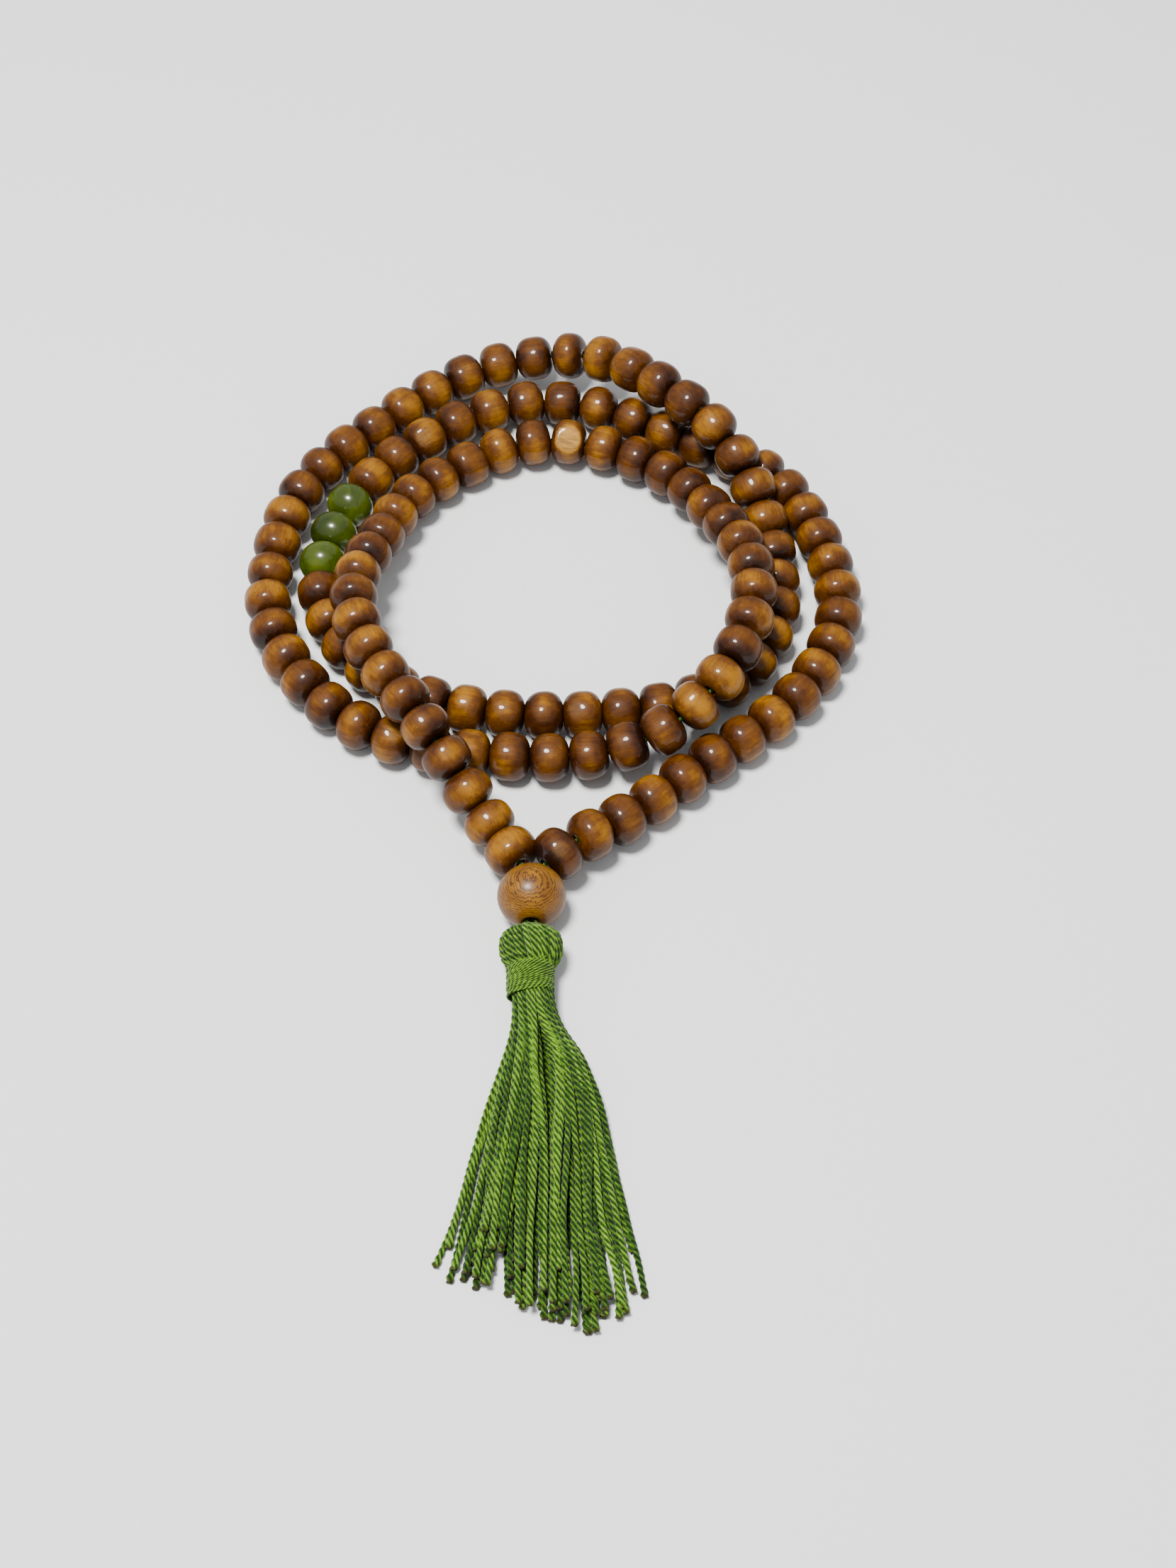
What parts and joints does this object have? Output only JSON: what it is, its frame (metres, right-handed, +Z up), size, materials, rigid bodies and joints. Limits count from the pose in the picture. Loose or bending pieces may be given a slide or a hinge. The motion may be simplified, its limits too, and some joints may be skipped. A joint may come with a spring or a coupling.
{
  "type": "string of prayer beads",
  "caption": "Long loop of turned brown wooden beads with a few green stone beads, coiled flat, closed by a larger guru bead and a green cord tassel.",
  "frame": {"origin": "middle of the footprint of the whole coiled string, on the surface it lies on", "axes": "+Y runs from the tassel's tail to the far side of the loops, +X to the right, +Z up from the surface"},
  "size_m": [0.1041, 0.1913, 0.0166],
  "materials": {
    "brown_wood": "dark golden-brown turned hardwood, clear lacquer, semi-gloss",
    "green_stone": "polished translucent olive-green stone with darker clouds",
    "guru_wood": "satin golden-brown wood with fine dark wavy grain",
    "green_thread": "twisted olive-green polyester thread",
    "green_cord": "soft twisted two-ply green cord, slightly fuzzy"
  },
  "bodies": {
    "string": {"thread": "green_thread", "beads_016_to_021": "brown_wood", "beads_022_to_026": "brown_wood", "beads_039_to_045": "brown_wood", "beads_046_to_052": "brown_wood", "beads_053_to_059": "brown_wood", "beads_062_to_067": "brown_wood", "beads_068_to_073": "brown_wood", "beads_074_to_080": "brown_wood", "beads_081_to_087": "brown_wood", "beads_091_to_097": "brown_wood", "beads_098_to_104": "brown_wood", "beads_105_to_114": "brown_wood"},
    "guru_bead": {"guru_bead": "guru_wood"},
    "bead_001": {"bead_001": "brown_wood"},
    "bead_002": {"bead_002": "brown_wood"},
    "bead_003": {"bead_003": "brown_wood"},
    "bead_004": {"bead_004": "brown_wood"},
    "bead_005": {"bead_005": "brown_wood"},
    "bead_006": {"bead_006": "brown_wood"},
    "bead_007": {"bead_007": "brown_wood"},
    "bead_008": {"bead_008": "brown_wood"},
    "bead_009": {"bead_009": "brown_wood"},
    "bead_010": {"bead_010": "brown_wood"},
    "bead_011": {"bead_011": "brown_wood"},
    "bead_012": {"bead_012": "brown_wood"},
    "bead_013": {"bead_013": "brown_wood"},
    "bead_014": {"bead_014": "brown_wood"},
    "bead_015": {"bead_015": "brown_wood"},
    "bead_027": {"bead_027": "brown_wood"},
    "bead_028": {"bead_028": "brown_wood"},
    "bead_029": {"bead_029": "brown_wood"},
    "bead_030": {"bead_030": "brown_wood"},
    "bead_031": {"bead_031": "brown_wood"},
    "bead_032": {"bead_032": "brown_wood"},
    "bead_033": {"bead_033": "brown_wood"},
    "bead_034": {"bead_034": "brown_wood"},
    "bead_035": {"bead_035": "brown_wood"},
    "bead_036": {"bead_036": "brown_wood"},
    "bead_037": {"bead_037": "brown_wood"},
    "bead_038": {"bead_038": "brown_wood"},
    "bead_060": {"bead_060": "brown_wood"},
    "bead_061": {"bead_061": "brown_wood"},
    "green_bead_1": {"green_bead_1": "green_stone"},
    "green_bead_2": {"green_bead_2": "green_stone"},
    "green_bead_3": {"green_bead_3": "green_stone"},
    "bead_115": {"bead_115": "brown_wood"},
    "bead_116": {"bead_116": "brown_wood"},
    "bead_117": {"bead_117": "brown_wood"},
    "bead_118": {"bead_118": "brown_wood"},
    "bead_119": {"bead_119": "brown_wood"},
    "bead_120": {"bead_120": "brown_wood"},
    "tassel_tie": {"tassel_knot": "green_thread"},
    "tassel": {"tassel_head": "green_cord", "tassel_wrap": "green_cord", "skirt_centre": "green_cord"},
    "skirt_outer_left": {"skirt_outer_left": "green_cord"},
    "skirt_mid_left": {"skirt_mid_left": "green_cord"},
    "skirt_mid_right": {"skirt_mid_right": "green_cord"},
    "skirt_outer_right": {"skirt_outer_right": "green_cord"}
  },
  "joints": [
    {"name": "guru_bead_spin", "type": "hinge", "parent": "string", "child": "guru_bead", "pos_m": [-0.0026, -0.025, 0.0053], "axis": [0, 1, 0], "continuous": true},
    {"name": "bead_001_spin", "type": "hinge", "parent": "string", "child": "bead_001", "pos_m": [-0.00592, -0.01646, 0.00491], "axis": [-0.5411, 0.8403, -0.0324], "continuous": true},
    {"name": "bead_002_spin", "type": "hinge", "parent": "string", "child": "bead_002", "pos_m": [-0.00938, -0.01149, 0.00555], "axis": [-0.5844, 0.7749, 0.2407], "continuous": true},
    {"name": "bead_003_spin", "type": "hinge", "parent": "string", "child": "bead_003", "pos_m": [-0.01289, -0.00686, 0.00757], "axis": [-0.5511, 0.7243, 0.4143], "continuous": true},
    {"name": "bead_004_spin", "type": "hinge", "parent": "string", "child": "bead_004", "pos_m": [-0.01624, -0.00235, 0.01013], "axis": [-0.5345, 0.7367, 0.4143], "continuous": true},
    {"name": "bead_005_spin", "type": "hinge", "parent": "string", "child": "bead_005", "pos_m": [-0.01961, 0.00241, 0.012], "axis": [-0.5597, 0.8065, 0.1903], "continuous": true},
    {"name": "bead_006_spin", "type": "hinge", "parent": "string", "child": "bead_006", "pos_m": [-0.02304, 0.00747, 0.01257], "axis": [-0.5524, 0.8336, -0.0042], "continuous": true},
    {"name": "bead_007_spin", "type": "hinge", "parent": "string", "child": "bead_007", "pos_m": [-0.02638, 0.01267, 0.01254], "axis": [-0.5268, 0.85, -0.0056], "continuous": true},
    {"name": "bead_008_spin", "type": "hinge", "parent": "string", "child": "bead_008", "pos_m": [-0.02938, 0.01805, 0.01256], "axis": [-0.4469, 0.8945, 0.0125], "continuous": true},
    {"name": "bead_009_spin", "type": "hinge", "parent": "string", "child": "bead_009", "pos_m": [-0.03159, 0.02378, 0.01239], "axis": [-0.2694, 0.9606, -0.0684], "continuous": true},
    {"name": "bead_010_spin", "type": "hinge", "parent": "string", "child": "bead_010", "pos_m": [-0.03259, 0.02976, 0.01163], "axis": [-0.0539, 0.9824, -0.1786], "continuous": true},
    {"name": "bead_011_spin", "type": "hinge", "parent": "string", "child": "bead_011", "pos_m": [-0.03232, 0.03574, 0.01027], "axis": [0.1428, 0.955, -0.2601], "continuous": true},
    {"name": "bead_012_spin", "type": "hinge", "parent": "string", "child": "bead_012", "pos_m": [-0.03102, 0.04152, 0.0086], "axis": [0.2755, 0.9186, -0.2834], "continuous": true},
    {"name": "bead_013_spin", "type": "hinge", "parent": "string", "child": "bead_013", "pos_m": [-0.02924, 0.04722, 0.00702], "axis": [0.3014, 0.9257, -0.2284], "continuous": true},
    {"name": "bead_014_spin", "type": "hinge", "parent": "string", "child": "bead_014", "pos_m": [-0.0272, 0.05292, 0.00582], "axis": [0.36, 0.9194, -0.1585], "continuous": true},
    {"name": "bead_015_spin", "type": "hinge", "parent": "string", "child": "bead_015", "pos_m": [-0.02433, 0.05826, 0.00497], "axis": [0.5702, 0.8131, -0.1176], "continuous": true},
    {"name": "bead_027_spin", "type": "hinge", "parent": "string", "child": "bead_027", "pos_m": [0.03172, 0.0425, 0.0103], "axis": [0.292, -0.9243, 0.2457], "continuous": true},
    {"name": "bead_028_spin", "type": "hinge", "parent": "string", "child": "bead_028", "pos_m": [0.03309, 0.03643, 0.01162], "axis": [0.1376, -0.9762, 0.1678], "continuous": true},
    {"name": "bead_029_spin", "type": "hinge", "parent": "string", "child": "bead_029", "pos_m": [0.03333, 0.03015, 0.01242], "axis": [-0.0639, -0.9946, 0.0823], "continuous": true},
    {"name": "bead_030_spin", "type": "hinge", "parent": "string", "child": "bead_030", "pos_m": [0.03228, 0.0239, 0.01269], "axis": [-0.2647, -0.9643, 0.0042], "continuous": true},
    {"name": "bead_031_spin", "type": "hinge", "parent": "string", "child": "bead_031", "pos_m": [0.03015, 0.01791, 0.01256], "axis": [-0.4038, -0.9137, -0.0465], "continuous": true},
    {"name": "bead_032_spin", "type": "hinge", "parent": "string", "child": "bead_032", "pos_m": [0.02711, 0.01237, 0.01197], "axis": [-0.5476, -0.8252, -0.1386], "continuous": true},
    {"name": "bead_033_spin", "type": "hinge", "parent": "string", "child": "bead_033", "pos_m": [0.02306, 0.00781, 0.0105], "axis": [-0.7271, -0.6055, -0.3237], "continuous": true},
    {"name": "bead_034_spin", "type": "hinge", "parent": "string", "child": "bead_034", "pos_m": [0.01805, 0.00476, 0.0082], "axis": [-0.8468, -0.3541, -0.397], "continuous": true},
    {"name": "bead_035_spin", "type": "hinge", "parent": "string", "child": "bead_035", "pos_m": [0.01236, 0.00303, 0.00603], "axis": [-0.9398, -0.1893, -0.2844], "continuous": true},
    {"name": "bead_036_spin", "type": "hinge", "parent": "string", "child": "bead_036", "pos_m": [0.0062, 0.00221, 0.00474], "axis": [-0.9902, -0.0684, -0.1218], "continuous": true},
    {"name": "bead_037_spin", "type": "hinge", "parent": "string", "child": "bead_037", "pos_m": [-0.00015, 0.00207, 0.00423], "axis": [-0.9991, 0.024, -0.036], "continuous": true},
    {"name": "bead_038_spin", "type": "hinge", "parent": "string", "child": "bead_038", "pos_m": [-0.00652, 0.00242, 0.0041], "axis": [-0.9963, 0.0856, -0.0042], "continuous": true},
    {"name": "bead_060_spin", "type": "hinge", "parent": "string", "child": "bead_060", "pos_m": [0.00276, 0.09078, 0.00729], "axis": [0.9249, -0.2799, 0.2571], "continuous": true},
    {"name": "bead_061_slide", "type": "slide", "parent": "string", "child": "bead_061", "axis": [-0.7996, 0.5383, -0.2664], "range_m": [0, 0.0009]},
    {"name": "green_bead_1_spin", "type": "hinge", "parent": "string", "child": "green_bead_1", "pos_m": [-0.03917, 0.0436, 0.00409], "axis": [0.1186, 0.9929, -0.0009], "continuous": true},
    {"name": "green_bead_2_spin", "type": "hinge", "parent": "string", "child": "green_bead_2", "pos_m": [-0.03776, 0.05039, 0.00411], "axis": [0.2854, 0.9584, 0.0091], "continuous": true},
    {"name": "green_bead_3_spin", "type": "hinge", "parent": "string", "child": "green_bead_3", "pos_m": [-0.03534, 0.05683, 0.0042], "axis": [0.4185, 0.9081, 0.0159], "continuous": true},
    {"name": "bead_115_spin", "type": "hinge", "parent": "string", "child": "bead_115", "pos_m": [0.02593, 0.00208, 0.00411], "axis": [-0.7785, -0.6276, 0.009], "continuous": true},
    {"name": "bead_116_spin", "type": "hinge", "parent": "string", "child": "bead_116", "pos_m": [0.02108, -0.00201, 0.0042], "axis": [-0.7503, -0.6608, 0.0174], "continuous": true},
    {"name": "bead_117_spin", "type": "hinge", "parent": "string", "child": "bead_117", "pos_m": [0.01629, -0.00616, 0.0043], "axis": [-0.7605, -0.6491, 0.0153], "continuous": true},
    {"name": "bead_118_spin", "type": "hinge", "parent": "string", "child": "bead_118", "pos_m": [0.01138, -0.01014, 0.00458], "axis": [-0.7907, -0.6079, 0.0722], "continuous": true},
    {"name": "bead_119_spin", "type": "hinge", "parent": "string", "child": "bead_119", "pos_m": [0.00633, -0.01381, 0.00552], "axis": [-0.8031, -0.5512, 0.2263], "continuous": true},
    {"name": "bead_120_spin", "type": "hinge", "parent": "string", "child": "bead_120", "pos_m": [0.00146, -0.01763, 0.00602], "axis": [-0.7444, -0.6641, -0.0693], "continuous": true},
    {"name": "tassel_swing", "type": "hinge", "parent": "string", "child": "tassel_tie", "pos_m": [-0.0026, -0.0319, 0.005], "axis": [0, 0, 1], "range_deg": [-24, 24]},
    {"name": "tassel_lift", "type": "hinge", "parent": "tassel_tie", "child": "tassel", "pos_m": [-0.0026, -0.0319, 0.005], "axis": [-1, 0, 0], "range_deg": [0, 26]},
    {"name": "outer_left_fan", "type": "hinge", "parent": "tassel", "child": "skirt_outer_left", "pos_m": [-0.00422, -0.0426, 0.00345], "axis": [0, 0, -1], "range_deg": [0, 10]},
    {"name": "mid_left_fan", "type": "hinge", "parent": "tassel", "child": "skirt_mid_left", "pos_m": [-0.00266, -0.0426, 0.00345], "axis": [0, 0, -1], "range_deg": [0, 5]},
    {"name": "mid_right_fan", "type": "hinge", "parent": "tassel", "child": "skirt_mid_right", "pos_m": [0.00046, -0.0426, 0.00345], "axis": [0, 0, 1], "range_deg": [0, 5]},
    {"name": "outer_right_fan", "type": "hinge", "parent": "tassel", "child": "skirt_outer_right", "pos_m": [0.00202, -0.0426, 0.00345], "axis": [0, 0, 1], "range_deg": [0, 10]}
  ],
  "couplings": [
    {"joint": "mid_left_fan", "follows": "outer_left_fan", "ratio": 0.5},
    {"joint": "mid_right_fan", "follows": "outer_right_fan", "ratio": 0.5}
  ]
}
